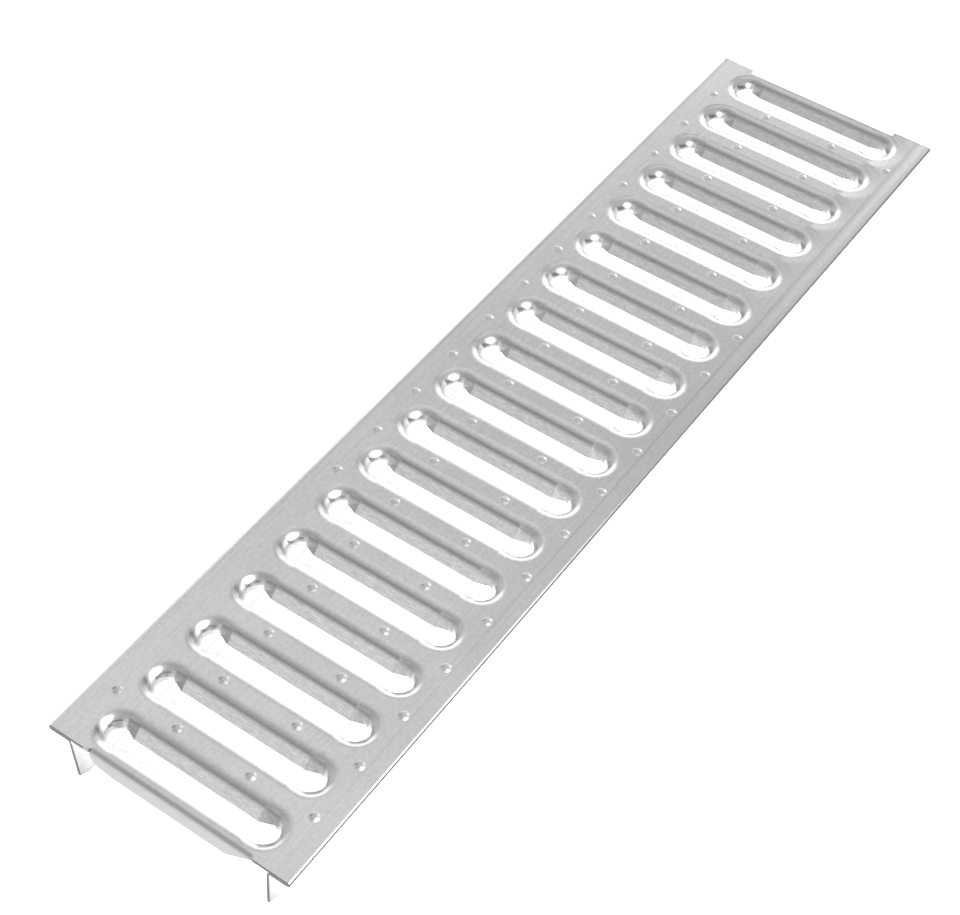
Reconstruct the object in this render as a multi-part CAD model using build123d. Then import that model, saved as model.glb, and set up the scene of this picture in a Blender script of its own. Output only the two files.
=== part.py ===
from build123d import *
import math
import os

# Channel drain grate, folded and pressed from one galvanised steel sheet.
# X runs across the grate, Y along the channel, Z up. The origin is below the middle,
# at the level of the leg edges. All sizes are in millimetres.

# Overall sizes
length = 500.0
width = 118.0
height = 27.0
sheet = 1.0

# Folded long edges: a flattened fold, a flange going back inward, and a leg going down
fold_gap = 0.3
leg_inset = 10.0
leg_bend_radius = 1.0
leg_lean = 3.2
leg_corner_run = 4.5
leg_corner_rise = 2.5

# Slots: along the sides the sheet rolls over into a sloping wall with an edge close to the
# middle. Round the ends it rolls over more tightly into a deeper, nearly upright wall.
slot_pitch_wanted = 28.0
side_margin = 12.0
rim_half_width = 11.0
side_wall_radius = 8.0
side_wall_slope = 43.0
side_wall_depth = 5.1
end_wall_radius = 6.0
end_wall_slope = 88.0
end_wall_depth = 6.3
wall_change_length = 5.0

# Lip pressed down across each end, between the two flat corners. It is cut off steeply
# beside one of them. Towards the other it gets shallower and then flattens out.
lip_depth = 9.3
lip_steep_overrun = 3.0
lip_steep_run = 2.5
lip_steep_rise = 7.5
lip_toe_run = 9.0
lip_flat_overrun = 5.5
lip_sloping_run = 10.0
lip_flattening_run = 4.0
lip_corner_rounding = 3.0

# Raised round bumps that give grip
bump_width = 4.6
bump_top_width = 1.8
bump_height = 0.5
rib_bump_spacing = 36.4
margin_bump_inset = 10.4
first_margin_bumps = 1
bare_margin_ribs = 4

# Sizes that follow from the driving ones
half_width = width / 2
half_length = length / 2
top = height
underside = top - sheet
slot_count = round(length / slot_pitch_wanted)
pitch = length / slot_count
slot_end = half_width - side_margin - rim_half_width
lip_left = -slot_end - lip_steep_overrun
lip_right = slot_end + lip_flat_overrun
lip_radius = pitch / 2 - rim_half_width


def folded_strip(start, heading, moves):
    """Section of a bent sheet. Its middle line starts at a point with a heading in degrees.
    Each move is (run, 0) for a flat stretch or (radius, turn) for a bend, left turns positive."""
    half = sheet / 2
    point = Vector(*start)
    left, right = [], []
    for size, turn in moves:
        ahead = Vector(math.cos(math.radians(heading)), math.sin(math.radians(heading)))
        across = Vector(-ahead.Y, ahead.X)
        if turn == 0:
            end = point + ahead * size
            left.append(Line(point + across * half, end + across * half))
            right.append(Line(point - across * half, end - across * half))
        else:
            side = math.copysign(1, turn)
            centre = point + across * size * side
            first = heading - 90 * side
            left.append(CenterArc(centre, size - side * half, first, turn))
            right.append(CenterArc(centre, size + side * half, first, turn))
            last = math.radians(first + turn)
            end = centre + Vector(math.cos(last), math.sin(last)) * size
        point = end
        heading += turn
    caps = [Line(left[0] @ 0, right[0] @ 0), Line(left[-1] @ 1, right[-1] @ 1)]
    return make_face(left + right + caps)


def across_plane(y):
    """Plane across the grate at y: sketch x is X and sketch y is Z."""
    return Plane(origin=(0, y, 0), x_dir=(1, 0, 0), z_dir=(0, -1, 0))


def along_plane(x, y):
    """Plane along the grate at x: sketch x is Y, counted from y, and sketch y is Z."""
    return Plane(origin=(x, y, 0), x_dir=(0, 1, 0), z_dir=(1, 0, 0))


def both_sides(shape, plane):
    return [shape, mirror(shape, about=plane)]


def both_ends(shapes):
    """Shapes at the near end, and the same shapes turned half round for the far end."""
    return [*shapes, *(Rot(0, 0, 180) * shape for shape in shapes)]


def frustum(low_width, high_width):
    return Cone(low_width / 2, high_width / 2, bump_height,
                align=(Align.CENTER, Align.CENTER, Align.MIN))


def folded_plate():
    """Top plate with its flattened folds and the two legs, before any pressing."""
    fold_radius = (sheet + fold_gap) / 2
    bend_radius = leg_bend_radius + sheet / 2
    fold_outside = fold_radius + sheet / 2
    bend_turn = 90 - leg_lean
    bend_start = half_width - leg_inset + leg_bend_radius
    bend_level = top - 2 * sheet - fold_gap - leg_bend_radius
    lean = math.radians(leg_lean)
    leg_run = (bend_level + leg_bend_radius * math.sin(lean)) / math.cos(lean)
    section = folded_strip(
        (0, top - sheet / 2), 0,
        [(half_width - fold_outside, 0), (fold_radius, -180),
         (half_width - fold_outside - bend_start, 0), (bend_radius, bend_turn), (leg_run, 0)])
    half = extrude(across_plane(half_length) * section, length)
    plate = half + mirror(half, about=Plane.YZ)
    corner = Polyline((0, 0), (leg_corner_run, 0), (0, leg_corner_rise), close=True)
    corner = extrude(along_plane(-half_width, -half_length) * make_face(corner), width)
    return plate - both_sides(corner, Plane.XZ)


def wall_section(radius, slope, depth):
    """Section of a slot's rim and wall, with sketch x counted from the slot's long axis."""
    angle = math.radians(slope)
    run = (depth - radius * (1 - math.cos(angle))) / math.sin(angle)
    return folded_strip((rim_half_width, top - sheet / 2), 180,
                        [(radius - sheet / 2, slope), (run, 0)])


def slot_wall():
    """The pressed rim and wall of one slot, centred on the origin. The side's section
    changes smoothly into the end's just before the wall turns round the end."""
    side_end = slot_end - wall_change_length
    side_section = wall_section(side_wall_radius, side_wall_slope, side_wall_depth)
    end_section = wall_section(end_wall_radius, end_wall_slope, end_wall_depth)
    side = extrude(along_plane(-side_end, 0) * side_section, 2 * side_end)
    change = loft([along_plane(side_end, 0) * side_section,
                   along_plane(slot_end, 0) * end_section])
    turn = revolve(along_plane(slot_end, 0) * end_section,
                   Axis((slot_end, 0, 0), (0, 0, 1)), -180)
    end = turn + both_sides(change, Plane.XZ)
    return both_sides(side, Plane.XZ) + both_sides(end, Plane.YZ)


def end_lip():
    """Lip along the grate's near end: a bend and a wall, trimmed to the lip's outline, and
    then a stretch where only the bend is left and opens out into a strip of the plate."""
    start = (half_length - lip_radius, top - sheet / 2)
    bend = (lip_radius - sheet / 2, -90)
    wall = (lip_depth - lip_radius, 0)
    change = lip_right - lip_flattening_run
    straight = extrude(along_plane(lip_left, 0) * folded_strip(start, 0, [bend, wall]),
                       change - lip_left)
    flattening = loft([along_plane(change, 0) * folded_strip(start, 0, [bend]),
                       along_plane(lip_right, 0) * folded_strip(start, 0, [(lip_radius, 0)])])
    low = top - lip_depth
    edge = FilletPolyline(
        (lip_left, underside), (lip_left + lip_steep_run, top - lip_steep_rise),
        (lip_left + lip_steep_run + lip_toe_run, low), (change - lip_sloping_run, low),
        (change, top - lip_radius), radius=lip_corner_rounding)
    outline = make_face([edge, Polyline(edge @ 1, (change, top), (lip_left, top), edge @ 0)])
    trim = extrude(across_plane(-half_length + pitch / 2) * outline, pitch / 2)
    return trim & mirror(straight, about=Plane.XZ), mirror(flattening, about=Plane.XZ)


def bump_places():
    """Two bumps on each rib, and one on each margin beside it, apart from a bare stretch
    that lies at opposite ends of the two margins."""
    places = []
    ribs = range(1, slot_count)
    bare = range(1 + first_margin_bumps, 1 + first_margin_bumps + bare_margin_ribs)
    for rib in ribs:
        y = rib * pitch - half_length
        places += [(-rib_bump_spacing / 2, y), (rib_bump_spacing / 2, y)]
        if rib not in bare:
            margin = half_width - margin_bump_inset
            places += [(-margin, y), (margin, -y)]
    return places


grate = folded_plate()

# Openings for the slot rims, and for the strip at each end that becomes a lip
slot_hole = extrude(SlotCenterToCenter(2 * slot_end, 2 * rim_half_width), sheet)
slot_centres = [(0, pitch * (number + 0.5) - half_length) for number in range(slot_count)]
lip_hole = Pos(lip_left, -half_length, underside) * Box(
    lip_right - lip_left, lip_radius, sheet, align=Align.MIN)
holes = [Pos(x, y, underside) * slot_hole for x, y in slot_centres]
grate = grate - holes - both_ends([lip_hole])

# Pressed walls and lips
wall_parts = slot_wall()
walls = [Pos(x, y, 0) * part for x, y in slot_centres for part in wall_parts]
grate = grate + walls + both_ends(end_lip())

# Bumps: a low blunt cone above, and the matching hollow one sheet below it
bump = frustum(bump_width, bump_top_width)
bump_slope = math.atan2(bump_height, (bump_width - bump_top_width) / 2)
narrowing = 2 * sheet * math.tan(bump_slope / 2)
hollow = frustum(bump_width - narrowing, bump_top_width - narrowing)
places = bump_places()
grate = grate + [Pos(x, y, top) * bump for x, y in places]
grate = grate - [Pos(x, y, underside) * hollow for x, y in places]

os.makedirs("parts", exist_ok=True)
export_step(grate, "parts/grate.step")
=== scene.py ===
import math

import bpy
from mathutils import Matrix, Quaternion, Vector

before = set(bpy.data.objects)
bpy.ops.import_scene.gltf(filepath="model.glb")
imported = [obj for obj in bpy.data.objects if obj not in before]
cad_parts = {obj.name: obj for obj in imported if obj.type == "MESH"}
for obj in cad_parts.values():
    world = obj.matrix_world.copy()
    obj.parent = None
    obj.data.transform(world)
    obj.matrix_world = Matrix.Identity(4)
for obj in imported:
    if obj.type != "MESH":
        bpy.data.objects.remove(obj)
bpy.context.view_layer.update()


# Camera
# A long lens looks down along the grate from beyond its near right corner. It is aimed at a
# point on the walked-on face, and turned very slightly about its own axis.
top_level = 0.027
aim = Vector((-0.0038, -0.0422, top_level))
camera_distance = 0.9119
camera_azimuth = math.radians(34.33)
camera_elevation = math.radians(49.30)
camera_roll = math.radians(1.40)

camera_data = bpy.data.cameras.new("camera")
camera_data.sensor_width = 36
camera_data.lens = 80.29
camera = bpy.data.objects.new("camera", camera_data)
bpy.context.scene.collection.objects.link(camera)
towards_camera = Vector((
    math.sin(camera_azimuth) * math.cos(camera_elevation),
    -math.cos(camera_azimuth) * math.cos(camera_elevation),
    math.sin(camera_elevation)))
camera.location = aim + camera_distance * towards_camera
camera.rotation_mode = "QUATERNION"
camera.rotation_quaternion = (
    (-towards_camera).to_track_quat("-Z", "Y") @ Quaternion((0, 0, 1), camera_roll))
bpy.context.scene.camera = camera


# Floor
# A white board that glows, as painted light standing in for a board lit from below under a product
# in a light tent, so that it stays white where the grate's shadow falls. It glows more strongly
# right under the grate, a painted pool of light that covers that shadow.
def linear(hex_colour):
    parts = [int(hex_colour[i:i + 2], 16) / 255 for i in (1, 3, 5)]
    parts = [p / 12.92 if p <= 0.04045 else ((p + 0.055) / 1.055) ** 2.4 for p in parts]
    return (*parts, 1.0)


def add_node(tree, kind, settings=None):
    """Adds a node. Settings name its properties and sockets. A setting that is another
    node's socket becomes a link."""
    node = tree.nodes.new(kind)
    for name, value in (settings or {}).items():
        if isinstance(value, bpy.types.NodeSocket):
            tree.links.new(value, node.inputs[name])
        elif isinstance(name, int) or name in node.inputs:
            node.inputs[name].default_value = value
        else:
            setattr(node, name, value)
    return node


def new_material(name):
    material = bpy.data.materials.new(name)
    material.use_nodes = True
    material.node_tree.nodes.clear()
    return material


def set_stops(ramp, stops):
    """Gives a colour ramp its stops, as pairs of a position and a colour."""
    while len(ramp.elements) < len(stops):
        ramp.elements.new(0.5)
    for element, (position, colour) in zip(ramp.elements, stops):
        element.position = position
        element.color = colour


floor_half = 4.0
floor_corners = [(-floor_half, -floor_half, 0), (floor_half, -floor_half, 0),
                 (floor_half, floor_half, 0), (-floor_half, floor_half, 0)]
floor_mesh = bpy.data.meshes.new("floor")
floor_mesh.from_pydata(floor_corners, [], [(0, 1, 2, 3)])
floor = bpy.data.objects.new("floor", floor_mesh)
bpy.context.scene.collection.objects.link(floor)

glowing_board = new_material("white glowing board")
tree = glowing_board.node_tree
place = add_node(tree, "ShaderNodeTexCoord")
parts = add_node(tree, "ShaderNodeSeparateXYZ", {0: place.outputs["Object"]})
plain_glow = 0.81
extra_glow = 1.39
glow_side_start = 0.074
glow_side_full = 0.064
glow_near_start = -0.254
glow_near_full = -0.238
sideways = add_node(tree, "ShaderNodeMath", {"operation": "ABSOLUTE", 0: parts.outputs["X"]})
between_sides = add_node(tree, "ShaderNodeMapRange", {
    "interpolation_type": "SMOOTHSTEP", "Value": sideways.outputs[0],
    "From Min": glow_side_start, "From Max": glow_side_full})
behind_lip = add_node(tree, "ShaderNodeMapRange", {
    "interpolation_type": "SMOOTHSTEP", "Value": parts.outputs["Y"],
    "From Min": glow_near_start, "From Max": glow_near_full})
under_grate = add_node(tree, "ShaderNodeMath", {
    "operation": "MULTIPLY", 0: between_sides.outputs["Result"],
    1: behind_lip.outputs["Result"]})
glow = add_node(tree, "ShaderNodeMath", {
    "operation": "MULTIPLY_ADD", 0: under_grate.outputs[0], 1: extra_glow, 2: plain_glow})
board = add_node(tree, "ShaderNodeBsdfPrincipled", {
    "Base Color": linear("#8c8c8c"), "Roughness": 0.9,
    "Emission Color": linear("#ffffff"), "Emission Strength": glow.outputs[0]})
add_node(tree, "ShaderNodeOutputMaterial", {"Surface": board.outputs["BSDF"]})
floor_mesh.materials.append(glowing_board)


# Light
# A soft tent all round the grate. It is brightest low down beyond the far end, where the lamps
# stand. The flat faces mirror a paler part of it above them, and the roof is darker. On the
# right the tent is open to a darker room, and a round soft lamp stands there.
# Stops are degrees up from the far horizon, over the top and down to the near one, with the
# brightness there. The room's stops are heights on the unit sphere.
tent_brightest = 2.6
tent_stops = [
    (0, 2.6), (20, 2.4), (30, 1.9), (37, 1.10), (43, 0.60), (49, 0.46), (54, 0.50), (64, 0.93),
    (74, 0.85), (84, 0.71), (95, 0.59), (107, 0.48), (119, 0.46), (131, 0.68), (140, 0.82),
    (152, 0.90), (180, 0.88)]
room_stops = [(0, 0.30), (0.18, 0.10), (0.32, 0.12), (0.46, 0.60), (1, 0.62)]
left_brightness = 0.72
left_panel = Vector((-0.66, 0.62, 0.42)).normalized()
left_panel_brightness = 2.0
left_panel_edge = math.cos(math.radians(19))
left_panel_core = math.cos(math.radians(11))

tent = bpy.data.worlds.new("soft tent")
tent.use_nodes = True
tree = tent.node_tree
tree.nodes.clear()
direction = add_node(tree, "ShaderNodeTexCoord")
parts = add_node(tree, "ShaderNodeSeparateXYZ", {0: direction.outputs["Generated"]})
rise = add_node(tree, "ShaderNodeMath", {
    "operation": "ARCTAN2", 0: parts.outputs["Z"], 1: parts.outputs["Y"]})
share = add_node(tree, "ShaderNodeMath", {
    "operation": "DIVIDE", 0: rise.outputs["Value"], 1: math.pi})
ramp = add_node(tree, "ShaderNodeValToRGB", {"Fac": share.outputs["Value"]})
set_stops(ramp.color_ramp, [(degrees / 180, (*[brightness / tent_brightest] * 3, 1))
                            for degrees, brightness in tent_stops])
room = add_node(tree, "ShaderNodeValToRGB", {"Fac": parts.outputs["Z"]})
set_stops(room.color_ramp, [(height, (*[brightness / tent_brightest] * 3, 1))
                            for height, brightness in room_stops])
rightward = add_node(tree, "ShaderNodeMapRange", {
    "interpolation_type": "SMOOTHSTEP", "Value": parts.outputs["X"],
    "From Min": 0.0, "From Max": 0.24})
with_room = add_node(tree, "ShaderNodeMix", {
    "data_type": "RGBA", 0: rightward.outputs["Result"], 6: ramp.outputs["Color"],
    7: room.outputs["Color"]})
leftward = add_node(tree, "ShaderNodeMapRange", {
    "interpolation_type": "SMOOTHSTEP", "Value": parts.outputs["X"],
    "From Min": -0.66, "From Max": -0.80})
with_left = add_node(tree, "ShaderNodeMix", {
    "data_type": "RGBA", 0: leftward.outputs["Result"], 6: with_room.outputs[2],
    7: (*[left_brightness / tent_brightest] * 3, 1)})
nearness = add_node(tree, "ShaderNodeVectorMath", {
    "operation": "DOT_PRODUCT", 0: direction.outputs["Generated"], 1: left_panel})
on_panel = add_node(tree, "ShaderNodeMapRange", {
    "interpolation_type": "SMOOTHSTEP", "Value": nearness.outputs["Value"],
    "From Min": left_panel_edge, "From Max": left_panel_core})
with_panel = add_node(tree, "ShaderNodeMix", {
    "data_type": "RGBA", 0: on_panel.outputs["Result"], 6: with_left.outputs[2],
    7: (*[left_panel_brightness / tent_brightest] * 3, 1)})
cloth = add_node(tree, "ShaderNodeBackground", {
    "Color": with_panel.outputs[2], "Strength": tent_brightest})
add_node(tree, "ShaderNodeOutputWorld", {"Surface": cloth.outputs["Background"]})
bpy.context.scene.world = tent
bpy.context.scene.view_settings.view_transform = "Standard"

lamp_data = bpy.data.lights.new("round soft lamp", "AREA")
lamp_data.shape = "DISK"
lamp_data.size = 0.36
lamp_data.energy = 1.2
lamp = bpy.data.objects.new("round soft lamp", lamp_data)
lamp.location = (0.230, -0.141, 0.270)
lamp_aim = Vector((-0.042, -0.014, 0.025)) - lamp.location
lamp.rotation_mode = "QUATERNION"
lamp.rotation_quaternion = lamp_aim.to_track_quat("-Z", "Y")
lamp.visible_camera = False
bpy.context.scene.collection.objects.link(lamp)


# Grate
# One piece of hot-dip galvanised sheet steel, slit and pressed between dies and then folded along
# both long edges. The zinc gives it a pale satin skin that mirrors softly, and it is gone from the
# cut edges. Much of the colour below is painted light: painted shade along the slots' bends, round
# their ends and corners, on the lips' bends, in the margins' creases, on the bumps, the legs and
# the lips' walls, and under the right fold, and painted highlights on the slots' nearer walls,
# beside the right fold and on its nearer half. These marks were fitted to the photo's grey levels.
zinc = new_material("hot-dip galvanised steel")
tree = zinc.node_tree
place = add_node(tree, "ShaderNodeTexCoord").outputs["Object"]
at = add_node(tree, "ShaderNodeSeparateXYZ", {0: place})
off_centre = add_node(tree, "ShaderNodeMath", {"operation": "ABSOLUTE", 0: at.outputs["X"]})
from_middle = add_node(tree, "ShaderNodeMath", {"operation": "ABSOLUTE", 0: at.outputs["Y"]})

# Distance from the axis of the nearest slot
grate_length = 0.5
slot_pitch = grate_length / 18
slot_end = 0.036
count = add_node(tree, "ShaderNodeMath", {
    "operation": "DIVIDE", 0: at.outputs["Y"], 1: slot_pitch})
part_way = add_node(tree, "ShaderNodeMath", {"operation": "FRACT", 0: count.outputs[0]})
from_axis = add_node(tree, "ShaderNodeMath", {
    "operation": "MULTIPLY_ADD", 0: part_way.outputs[0], 1: slot_pitch, 2: -slot_pitch / 2})
past_end = add_node(tree, "ShaderNodeMath", {
    "operation": "SUBTRACT", 0: off_centre.outputs[0], 1: slot_end})
past_end = add_node(tree, "ShaderNodeMath", {
    "operation": "MAXIMUM", 0: past_end.outputs[0], 1: 0.0})
from_slot = add_node(tree, "ShaderNodeCombineXYZ", {
    "X": past_end.outputs[0], "Y": from_axis.outputs[0]})
distance = add_node(tree, "ShaderNodeVectorMath", {
    "operation": "LENGTH", 0: from_slot.outputs[0]}).outputs["Value"]

# A darker band painted along both sides of each slot where the sheet bends down into it, as
# painted shade of the bend. It is weaker on the nearer side and fades out round the slot ends.
bend_band_reach = 0.014
bend_band_share = add_node(tree, "ShaderNodeMath", {"operation": "DIVIDE", 0: distance, 1: bend_band_reach})
bend_shade = add_node(tree, "ShaderNodeValToRGB", {"Fac": bend_band_share.outputs[0]})
bend_shade_stops = [(0, "#dadada"), (5.9, "#dfdfdf"), (6.8, "#c2c2c2"), (7.3, "#b6b6b6"),
             (7.8, "#cdcdcd"), (8.6, "#d8d8d8"), (12.0, "#dbdbdb")]
set_stops(bend_shade.color_ramp, [(millimetres / 1000 / bend_band_reach, linear(colour))
                              for millimetres, colour in bend_shade_stops])
near_side = add_node(tree, "ShaderNodeMapRange", {
    "interpolation_type": "SMOOTHSTEP", "Value": from_axis.outputs[0],
    "From Min": 0.003, "From Max": -0.003, "To Min": 0.0, "To Max": 0.65})
fade = add_node(tree, "ShaderNodeMapRange", {
    "interpolation_type": "SMOOTHSTEP", "Value": past_end.outputs[0],
    "From Min": 0.001, "From Max": 0.006})
fade = add_node(tree, "ShaderNodeMath", {
    "operation": "MAXIMUM", 0: fade.outputs["Result"], 1: near_side.outputs["Result"]})
plain = add_node(tree, "ShaderNodeMix", {
    "data_type": "RGBA", 0: fade.outputs[0], 6: bend_shade.outputs["Color"],
    7: linear("#dadada")})

# The nearer wall of each slot is painted pale towards its edge, a painted reflection of the bright
# floor, and is matt there
low_on_wall = add_node(tree, "ShaderNodeMapRange", {
    "interpolation_type": "SMOOTHSTEP", "Value": distance,
    "From Min": 0.0078, "From Max": 0.0068})
nearer = add_node(tree, "ShaderNodeMath", {
    "operation": "LESS_THAN", 0: from_axis.outputs[0], 1: 0.0})
pale_near_wall = add_node(tree, "ShaderNodeMath", {
    "operation": "MULTIPLY", 0: low_on_wall.outputs["Result"], 1: nearer.outputs[0]})
plain = add_node(tree, "ShaderNodeMix", {
    "data_type": "RGBA", 0: pale_near_wall.outputs[0], 6: plain.outputs[2], 7: linear("#fafafa")})

# Painted shade round the slot ends: down in the wall all the way round, and on the rim of each
# slot's nearer half. This painted shade is lighter towards the far end of the grate.
deep = add_node(tree, "ShaderNodeMapRange", {
    "interpolation_type": "SMOOTHSTEP", "Value": distance,
    "From Min": 0.0062, "From Max": 0.0056})
on_rim = add_node(tree, "ShaderNodeMapRange", {
    "interpolation_type": "SMOOTHSTEP", "Value": distance,
    "From Min": 0.0096, "From Max": 0.0084})
nearer_half = add_node(tree, "ShaderNodeMapRange", {
    "interpolation_type": "SMOOTHSTEP", "Value": from_axis.outputs[0],
    "From Min": -0.0016, "From Max": -0.0042})
near_rim = add_node(tree, "ShaderNodeMath", {
    "operation": "MULTIPLY", 0: on_rim.outputs["Result"], 1: nearer_half.outputs["Result"]})
end_shade = add_node(tree, "ShaderNodeMath", {
    "operation": "MAXIMUM", 0: deep.outputs["Result"], 1: near_rim.outputs[0]})
round_end = add_node(tree, "ShaderNodeMapRange", {
    "interpolation_type": "SMOOTHSTEP", "Value": past_end.outputs[0],
    "From Min": 0.0005, "From Max": 0.0040})
end_shade = add_node(tree, "ShaderNodeMath", {
    "operation": "MULTIPLY", 0: end_shade.outputs[0], 1: round_end.outputs["Result"]})
end_shade_darkening = -0.52
end_shade_strength = add_node(tree, "ShaderNodeMapRange", {
    "Value": at.outputs["Y"], "From Min": -0.17, "From Max": 0.10,
    "To Min": end_shade_darkening, "To Max": 0.0})
end_shade_factor = add_node(tree, "ShaderNodeMath", {
    "operation": "MULTIPLY_ADD", 0: end_shade.outputs[0], 1: end_shade_strength.outputs["Result"], 2: 1.0})

# Where a slot's farther side wall turns up into its end wall, the corner is painted grey as
# painted shade, and is matt
corner_shade_darkening = -0.24
corner_start = add_node(tree, "ShaderNodeMapRange", {
    "interpolation_type": "SMOOTHSTEP", "Value": off_centre.outputs[0],
    "From Min": 0.0302, "From Max": 0.0310})
corner_end = add_node(tree, "ShaderNodeMapRange", {
    "interpolation_type": "SMOOTHSTEP", "Value": past_end.outputs[0],
    "From Min": 0.0035, "From Max": 0.0015})
corner_side = add_node(tree, "ShaderNodeMapRange", {
    "interpolation_type": "SMOOTHSTEP", "Value": from_axis.outputs[0],
    "From Min": 0.0005, "From Max": 0.0020})
corner_depth = add_node(tree, "ShaderNodeMapRange", {
    "interpolation_type": "SMOOTHSTEP", "Value": distance,
    "From Min": 0.0080, "From Max": 0.0068})
off_left_end = add_node(tree, "ShaderNodeMapRange", {
    "interpolation_type": "SMOOTHSTEP", "Value": at.outputs["X"],
    "From Min": -0.0372, "From Max": -0.0360})
shaded_corner = corner_start.outputs["Result"]
for limit in (corner_end, corner_side, corner_depth, off_left_end):
    shaded_corner_node = add_node(tree, "ShaderNodeMath", {
        "operation": "MULTIPLY", 0: shaded_corner, 1: limit.outputs["Result"]})
    shaded_corner = shaded_corner_node.outputs[0]
corner_shade_factor = add_node(tree, "ShaderNodeMath", {
    "operation": "MULTIPLY_ADD", 0: shaded_corner, 1: corner_shade_darkening, 2: 1.0})

# The start of the rim beyond each right slot end is painted a little darker too, as painted shade
rim_shade_darkening = -0.09
rim_start = add_node(tree, "ShaderNodeMapRange", {
    "interpolation_type": "SMOOTHSTEP", "Value": distance,
    "From Min": 0.0116, "From Max": 0.0106})
rim_past = add_node(tree, "ShaderNodeMapRange", {
    "interpolation_type": "SMOOTHSTEP", "Value": at.outputs["X"],
    "From Min": 0.0365, "From Max": 0.0410, "To Min": 0.0, "To Max": rim_shade_darkening})
rim_shade_factor = add_node(tree, "ShaderNodeMath", {
    "operation": "MULTIPLY_ADD", 0: rim_start.outputs["Result"],
    1: rim_past.outputs["Result"], 2: 1.0})

# The bumps stand half a millimetre above the top face. Their tops and their slopes towards the far
# left are painted darker, as painted shade.
bump_top_shade_level = 0.78
bump_side_shade_darkening = -0.50
shaded_side = (-0.80, 0.60, 0.0)
bump_top_shade = add_node(tree, "ShaderNodeMapRange", {
    "interpolation_type": "SMOOTHSTEP", "Value": at.outputs["Z"],
    "From Min": top_level + 0.00025, "From Max": top_level + 0.00042,
    "To Min": 1.0, "To Max": bump_top_shade_level})
surface = add_node(tree, "ShaderNodeNewGeometry")
facing = add_node(tree, "ShaderNodeVectorMath", {
    "operation": "DOT_PRODUCT", 0: surface.outputs["Normal"], 1: shaded_side})
shaded_slope = add_node(tree, "ShaderNodeMapRange", {
    "interpolation_type": "SMOOTHSTEP", "Value": facing.outputs["Value"],
    "From Min": 0.02, "From Max": 0.22})
raised = add_node(tree, "ShaderNodeMath", {
    "operation": "GREATER_THAN", 0: at.outputs["Z"], 1: top_level + 0.00002})
bump_side_shade = add_node(tree, "ShaderNodeMath", {
    "operation": "MULTIPLY", 0: shaded_slope.outputs["Result"], 1: raised.outputs[0]})
bump_side_shade_factor = add_node(tree, "ShaderNodeMath", {
    "operation": "MULTIPLY_ADD", 0: bump_side_shade.outputs[0], 1: bump_side_shade_darkening, 2: 1.0})

# The lips' bend, painted darker just where it starts to turn down, as painted shade. The lip lies
# between the two flat corners, and its bend takes up the last 2.6 mm.
lip_shade_levels = [(0.23, 1.0), (0.38, 0.86), (0.53, 0.60), (0.67, 0.64), (0.82, 0.90), (0.92, 1.0)]
flat_corner = 0.0415
lip_share = add_node(tree, "ShaderNodeMapRange", {
    "Value": from_middle.outputs[0], "From Min": 0.2474, "From Max": 0.2500})
lip_bend_shade = add_node(tree, "ShaderNodeValToRGB", {"Fac": lip_share.outputs["Result"]})
set_stops(lip_bend_shade.color_ramp, [(share, (level, level, level, 1))
                               for share, level in lip_shade_levels])
at_lip = add_node(tree, "ShaderNodeMapRange", {
    "interpolation_type": "SMOOTHSTEP", "Value": off_centre.outputs[0],
    "From Min": flat_corner, "From Max": 0.0385})
lip_shade_factor = add_node(tree, "ShaderNodeMix", {
    "data_type": "FLOAT", 0: at_lip.outputs["Result"], 2: 1.0, 3: lip_bend_shade.outputs["Color"]})

# Painted shade in the creases that the folding press left along both margins, darker towards the
# far end
right_crease_at = 0.0516
left_crease_at = -0.0567
right_crease = add_node(tree, "ShaderNodeMath", {
    "operation": "SUBTRACT", 0: at.outputs["X"], 1: right_crease_at})
right_crease = add_node(tree, "ShaderNodeMath", {
    "operation": "ABSOLUTE", 0: right_crease.outputs[0]})
left_crease = add_node(tree, "ShaderNodeMath", {
    "operation": "SUBTRACT", 0: at.outputs["X"], 1: left_crease_at})
left_crease = add_node(tree, "ShaderNodeMath", {
    "operation": "ABSOLUTE", 0: left_crease.outputs[0]})
crease = add_node(tree, "ShaderNodeMath", {
    "operation": "MINIMUM", 0: left_crease.outputs[0], 1: right_crease.outputs[0]})
crease_shade_depth = add_node(tree, "ShaderNodeMapRange", {
    "Value": at.outputs["Y"], "From Min": -0.24, "From Max": 0.05,
    "To Min": 0.97, "To Max": 0.86})
crease_shade_factor = add_node(tree, "ShaderNodeMapRange", {
    "interpolation_type": "SMOOTHSTEP", "Value": crease.outputs[0],
    "From Min": 0.0, "From Max": 0.0010, "To Min": crease_shade_depth.outputs["Result"],
    "To Max": 1.0})

# A painted highlight on a strip beside the right fold, brighter towards the far end
ridge_at = 0.0548
ridge = add_node(tree, "ShaderNodeMath", {
    "operation": "SUBTRACT", 0: at.outputs["X"], 1: ridge_at})
ridge = add_node(tree, "ShaderNodeMath", {"operation": "ABSOLUTE", 0: ridge.outputs[0]})
ridge_highlight_strength = add_node(tree, "ShaderNodeMapRange", {
    "Value": at.outputs["Y"], "From Min": 0.0, "From Max": 0.22,
    "To Min": 1.0, "To Max": 1.16})
ridge_highlight = add_node(tree, "ShaderNodeMapRange", {
    "interpolation_type": "SMOOTHSTEP", "Value": ridge.outputs[0],
    "From Min": 0.0005, "From Max": 0.0022, "To Min": ridge_highlight_strength.outputs["Result"],
    "To Max": 1.0})

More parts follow.
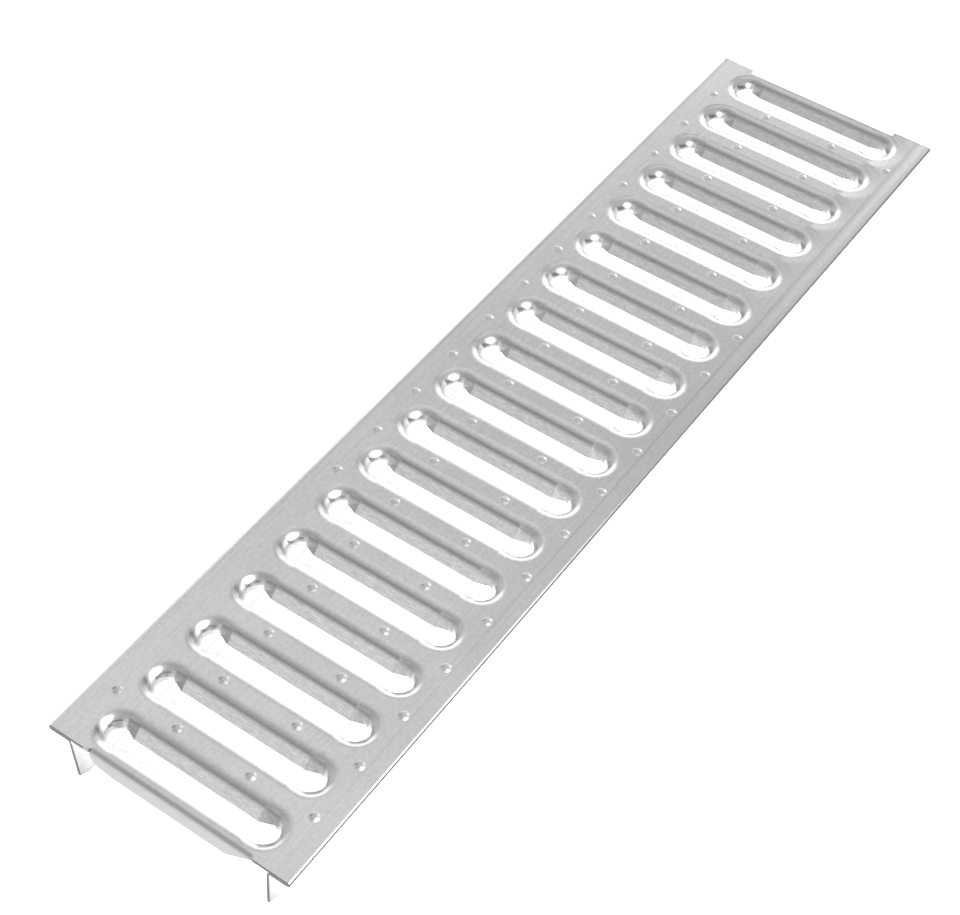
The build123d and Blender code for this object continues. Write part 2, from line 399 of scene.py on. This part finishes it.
# The rolls' streaks run along the sheet. Real ones are a few hundredths of a millimetre wide,
# too fine to show, so they are drawn 0.8 mm wide and 40 mm long.
streak_scale = (1300, 24, 1300)
streak_place = add_node(tree, "ShaderNodeMapping", {"Vector": place, "Scale": streak_scale})
streaks = add_node(tree, "ShaderNodeTexNoise", {
    "Vector": streak_place.outputs[0], "Scale": 1.0, "Detail": 3.0})
streak_wear = add_node(tree, "ShaderNodeMapRange", {
    "Value": streaks.outputs["Fac"], "From Min": 0.3, "From Max": 0.7,
    "To Min": 0.955, "To Max": 1.03})

# The zinc's grain is 1.6 mm across, and its cloudy patches are about 40 mm
grain_scale = 620.0
patch_scale = 26.0
mottle = add_node(tree, "ShaderNodeTexNoise", {
    "Vector": place, "Scale": grain_scale, "Detail": 5.0, "Roughness": 0.75})
mottle_wear = add_node(tree, "ShaderNodeMapRange", {
    "Value": mottle.outputs["Fac"], "From Min": 0.3, "From Max": 0.7,
    "To Min": 0.92, "To Max": 1.07})
cloud = add_node(tree, "ShaderNodeTexNoise", {
    "Vector": place, "Scale": patch_scale, "Detail": 2.0})
cloud_wear = add_node(tree, "ShaderNodeMapRange", {
    "Value": cloud.outputs["Fac"], "From Min": 0.35, "From Max": 0.65,
    "To Min": 0.97, "To Max": 1.02})

# The dies' scuffs on the slot walls, 4 mm long and 0.4 mm wide, which is coarser than real ones
# so that they show
scuff_scale = (240, 2600, 2600)
scuff_place = add_node(tree, "ShaderNodeMapping", {"Vector": place, "Scale": scuff_scale})
scuffs = add_node(tree, "ShaderNodeTexNoise", {
    "Vector": scuff_place.outputs[0], "Scale": 1.0, "Detail": 3.0, "Roughness": 0.6})
scuff_wear = add_node(tree, "ShaderNodeMapRange", {
    "Value": scuffs.outputs["Fac"], "From Min": 0.36, "From Max": 0.64,
    "To Min": -0.15, "To Max": 0.10})
on_wall = add_node(tree, "ShaderNodeMapRange", {
    "interpolation_type": "SMOOTHSTEP", "Value": distance,
    "From Min": 0.0075, "From Max": 0.006})
wall_wear = add_node(tree, "ShaderNodeMath", {
    "operation": "MULTIPLY_ADD", 0: on_wall.outputs["Result"], 1: scuff_wear.outputs["Result"],
    2: 1.0})

# Cut edges, darker where the zinc is gone, with the legs' corners taken off. A dark band along the
# lowest 0.6 mm is painted shade where the legs meet the floor, and a dark line under the right
# folded edge is painted shade, stronger towards the near end
corner_rise = 0.0025
corner_run = 0.0045
cut_line = grate_length / 2 - corner_run
end_cut_depth = 0.0004
lowest_band_height = 0.0006
fold_start = 0.0578
fold_line_top = 0.02668
edge_and_shade_darkening = -0.62
low = add_node(tree, "ShaderNodeMath", {
    "operation": "MINIMUM", 0: at.outputs["Z"], 1: corner_rise})
run = add_node(tree, "ShaderNodeMath", {
    "operation": "MULTIPLY_ADD", 0: low.outputs[0], 1: -corner_run / corner_rise,
    2: from_middle.outputs[0]})
end_cut = add_node(tree, "ShaderNodeMath", {
    "operation": "GREATER_THAN", 0: run.outputs[0], 1: cut_line - end_cut_depth})
beside_lip = add_node(tree, "ShaderNodeMath", {
    "operation": "GREATER_THAN", 0: off_centre.outputs[0], 1: flat_corner})
end_cut = add_node(tree, "ShaderNodeMath", {
    "operation": "MULTIPLY", 0: end_cut.outputs[0], 1: beside_lip.outputs[0]})
lowest_band = add_node(tree, "ShaderNodeMath", {
    "operation": "LESS_THAN", 0: at.outputs["Z"], 1: lowest_band_height})
at_fold = add_node(tree, "ShaderNodeMath", {
    "operation": "GREATER_THAN", 0: at.outputs["X"], 1: fold_start})
under_fold = add_node(tree, "ShaderNodeMath", {
    "operation": "LESS_THAN", 0: at.outputs["Z"], 1: fold_line_top})
fold_line = add_node(tree, "ShaderNodeMath", {
    "operation": "MULTIPLY", 0: at_fold.outputs[0], 1: under_fold.outputs[0]})
edges = add_node(tree, "ShaderNodeMath", {
    "operation": "MAXIMUM", 0: end_cut.outputs[0], 1: lowest_band.outputs[0]})
fold_depth = add_node(tree, "ShaderNodeMapRange", {
    "Value": at.outputs["Y"], "From Min": -0.06, "From Max": 0.02,
    "To Min": 1.0, "To Max": 0.55})
fold_depth = add_node(tree, "ShaderNodeMath", {
    "operation": "MULTIPLY", 0: fold_line.outputs[0], 1: fold_depth.outputs["Result"]})
edges = add_node(tree, "ShaderNodeMath", {
    "operation": "MAXIMUM", 0: edges.outputs[0], 1: fold_depth.outputs[0]})
edge_and_shade_factor = add_node(tree, "ShaderNodeMath", {
    "operation": "MULTIPLY_ADD", 0: edges.outputs[0], 1: edge_and_shade_darkening, 2: 1.0})

# Above that line the nearer half of the right folded edge is painted paler, as a painted
# highlight, and is matt
fold_strip_start = 0.0580
fold_highlight_brightening = 0.18
past_flat = add_node(tree, "ShaderNodeMath", {
    "operation": "GREATER_THAN", 0: at.outputs["X"], 1: fold_strip_start})
fold_highlight = add_node(tree, "ShaderNodeMath", {
    "operation": "SUBTRACT", 0: past_flat.outputs[0], 1: fold_line.outputs[0]})
fold_highlight = add_node(tree, "ShaderNodeMath", {
    "operation": "MAXIMUM", 0: fold_highlight.outputs[0], 1: 0.0})
fold_highlight_near_half = add_node(tree, "ShaderNodeMapRange", {
    "Value": at.outputs["Y"], "From Min": -0.10, "From Max": 0.02,
    "To Min": 1.0, "To Max": 0.0})
fold_highlight = add_node(tree, "ShaderNodeMath", {
    "operation": "MULTIPLY", 0: fold_highlight.outputs[0], 1: fold_highlight_near_half.outputs["Result"]})
fold_highlight_factor = add_node(tree, "ShaderNodeMath", {
    "operation": "MULTIPLY_ADD", 0: fold_highlight.outputs[0], 1: fold_highlight_brightening, 2: 1.0})

# The legs and the lips' walls are painted darker, as painted shade, the legs more so
leg_top = 0.0235
leg_inside = 0.0465
leg_shade_level = 0.62
lip_wall_shade_level = 0.86
off_leg = add_node(tree, "ShaderNodeMath", {
    "operation": "GREATER_THAN", 0: at.outputs["Z"], 1: leg_top})
inward = add_node(tree, "ShaderNodeMath", {
    "operation": "LESS_THAN", 0: off_centre.outputs[0], 1: leg_inside})
off_leg = add_node(tree, "ShaderNodeMath", {
    "operation": "MAXIMUM", 0: off_leg.outputs[0], 1: inward.outputs[0]})
leg_and_lip_shade = add_node(tree, "ShaderNodeMapRange", {
    "Value": off_leg.outputs[0], "To Min": leg_shade_level, "To Max": 1.0})
on_lip = add_node(tree, "ShaderNodeMapRange", {
    "interpolation_type": "SMOOTHSTEP", "Value": from_middle.outputs[0],
    "From Min": 0.2492, "From Max": 0.2498, "To Min": 1.0, "To Max": lip_wall_shade_level})
leg_and_lip_shade = add_node(tree, "ShaderNodeMath", {
    "operation": "MULTIPLY", 0: leg_and_lip_shade.outputs["Result"], 1: on_lip.outputs["Result"]})

# All wear, painted shade and painted highlights together
wear_and_shade = add_node(tree, "ShaderNodeMath", {
    "operation": "MULTIPLY", 0: streak_wear.outputs["Result"], 1: mottle_wear.outputs["Result"]})
for part in (cloud_wear.outputs["Result"], crease_shade_factor.outputs["Result"],
             ridge_highlight.outputs["Result"], wall_wear.outputs[0], corner_shade_factor.outputs[0],
             lip_shade_factor.outputs[0], fold_highlight_factor.outputs[0], rim_shade_factor.outputs[0],
             bump_top_shade.outputs["Result"], bump_side_shade_factor.outputs[0],
             end_shade_factor.outputs[0], edge_and_shade_factor.outputs[0], leg_and_lip_shade.outputs[0]):
    wear_and_shade = add_node(tree, "ShaderNodeMath", {"operation": "MULTIPLY", 0: wear_and_shade.outputs[0], 1: part})
worn_and_shaded = add_node(tree, "ShaderNodeVectorMath", {
    "operation": "SCALE", 0: plain.outputs[2], "Scale": wear_and_shade.outputs[0]})

# At the far right the sheet sinks a fifth of a millimetre towards the slot ends, which is too
# little for the mesh but makes the rims' highlights spread over the margin
dish_depth = 0.00022
dish = add_node(tree, "ShaderNodeMapRange", {
    "interpolation_type": "SMOOTHSTEP", "Value": distance,
    "From Min": 0.0095, "From Max": 0.0165})
far_away = add_node(tree, "ShaderNodeMapRange", {
    "interpolation_type": "SMOOTHSTEP", "Value": at.outputs["Y"],
    "From Min": 0.05, "From Max": 0.20})
to_the_right = add_node(tree, "ShaderNodeMapRange", {
    "interpolation_type": "SMOOTHSTEP", "Value": at.outputs["X"],
    "From Min": 0.0365, "From Max": 0.0400})
dish_share = add_node(tree, "ShaderNodeMath", {
    "operation": "MULTIPLY", 0: far_away.outputs["Result"], 1: to_the_right.outputs["Result"]})
dish = add_node(tree, "ShaderNodeMix", {
    "data_type": "FLOAT", 0: dish_share.outputs[0], 2: 1.0, 3: dish.outputs["Result"]})
dished = add_node(tree, "ShaderNodeBump", {
    "Height": dish.outputs[0], "Distance": dish_depth, "Strength": 1.0})

# The skin's faint unevenness, which makes what it mirrors waver
waver_height = 0.00002
uneven = add_node(tree, "ShaderNodeMath", {
    "operation": "ADD", 0: streaks.outputs["Fac"], 1: mottle.outputs["Fac"]})
waver = add_node(tree, "ShaderNodeBump", {
    "Height": uneven.outputs[0], "Distance": waver_height, "Strength": 0.5,
    "Normal": dished.outputs["Normal"]})

# Satin skin, a little rougher on the bumps where feet have scuffed it, and matt on the right
# fold's nearer half, on the slots' nearer walls and at the corners where their side walls meet
# their end walls
satin = 0.26
scuffed = 0.38
fold_strip_matt = 0.6
near_wall_matt = 0.62
corner_matt = 0.75
roughness = add_node(tree, "ShaderNodeMapRange", {
    "Value": raised.outputs[0], "To Min": satin, "To Max": scuffed})
roughness = add_node(tree, "ShaderNodeMix", {
    "data_type": "FLOAT", 0: pale_near_wall.outputs[0], 2: roughness.outputs["Result"],
    3: near_wall_matt})
roughness = add_node(tree, "ShaderNodeMix", {
    "data_type": "FLOAT", 0: shaded_corner, 2: roughness.outputs[0], 3: corner_matt})
roughness = add_node(tree, "ShaderNodeMix", {
    "data_type": "FLOAT", 0: fold_highlight.outputs[0], 2: roughness.outputs[0],
    3: fold_strip_matt})

skin = add_node(tree, "ShaderNodeBsdfPrincipled", {
    "Base Color": worn_and_shaded.outputs[0], "Metallic": 1.0, "Roughness": roughness.outputs[0],
    "Normal": waver.outputs[0]})
add_node(tree, "ShaderNodeOutputMaterial", {"Surface": skin.outputs["BSDF"]})

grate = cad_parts["grate"]
for slot in grate.material_slots:
    slot.material = zinc
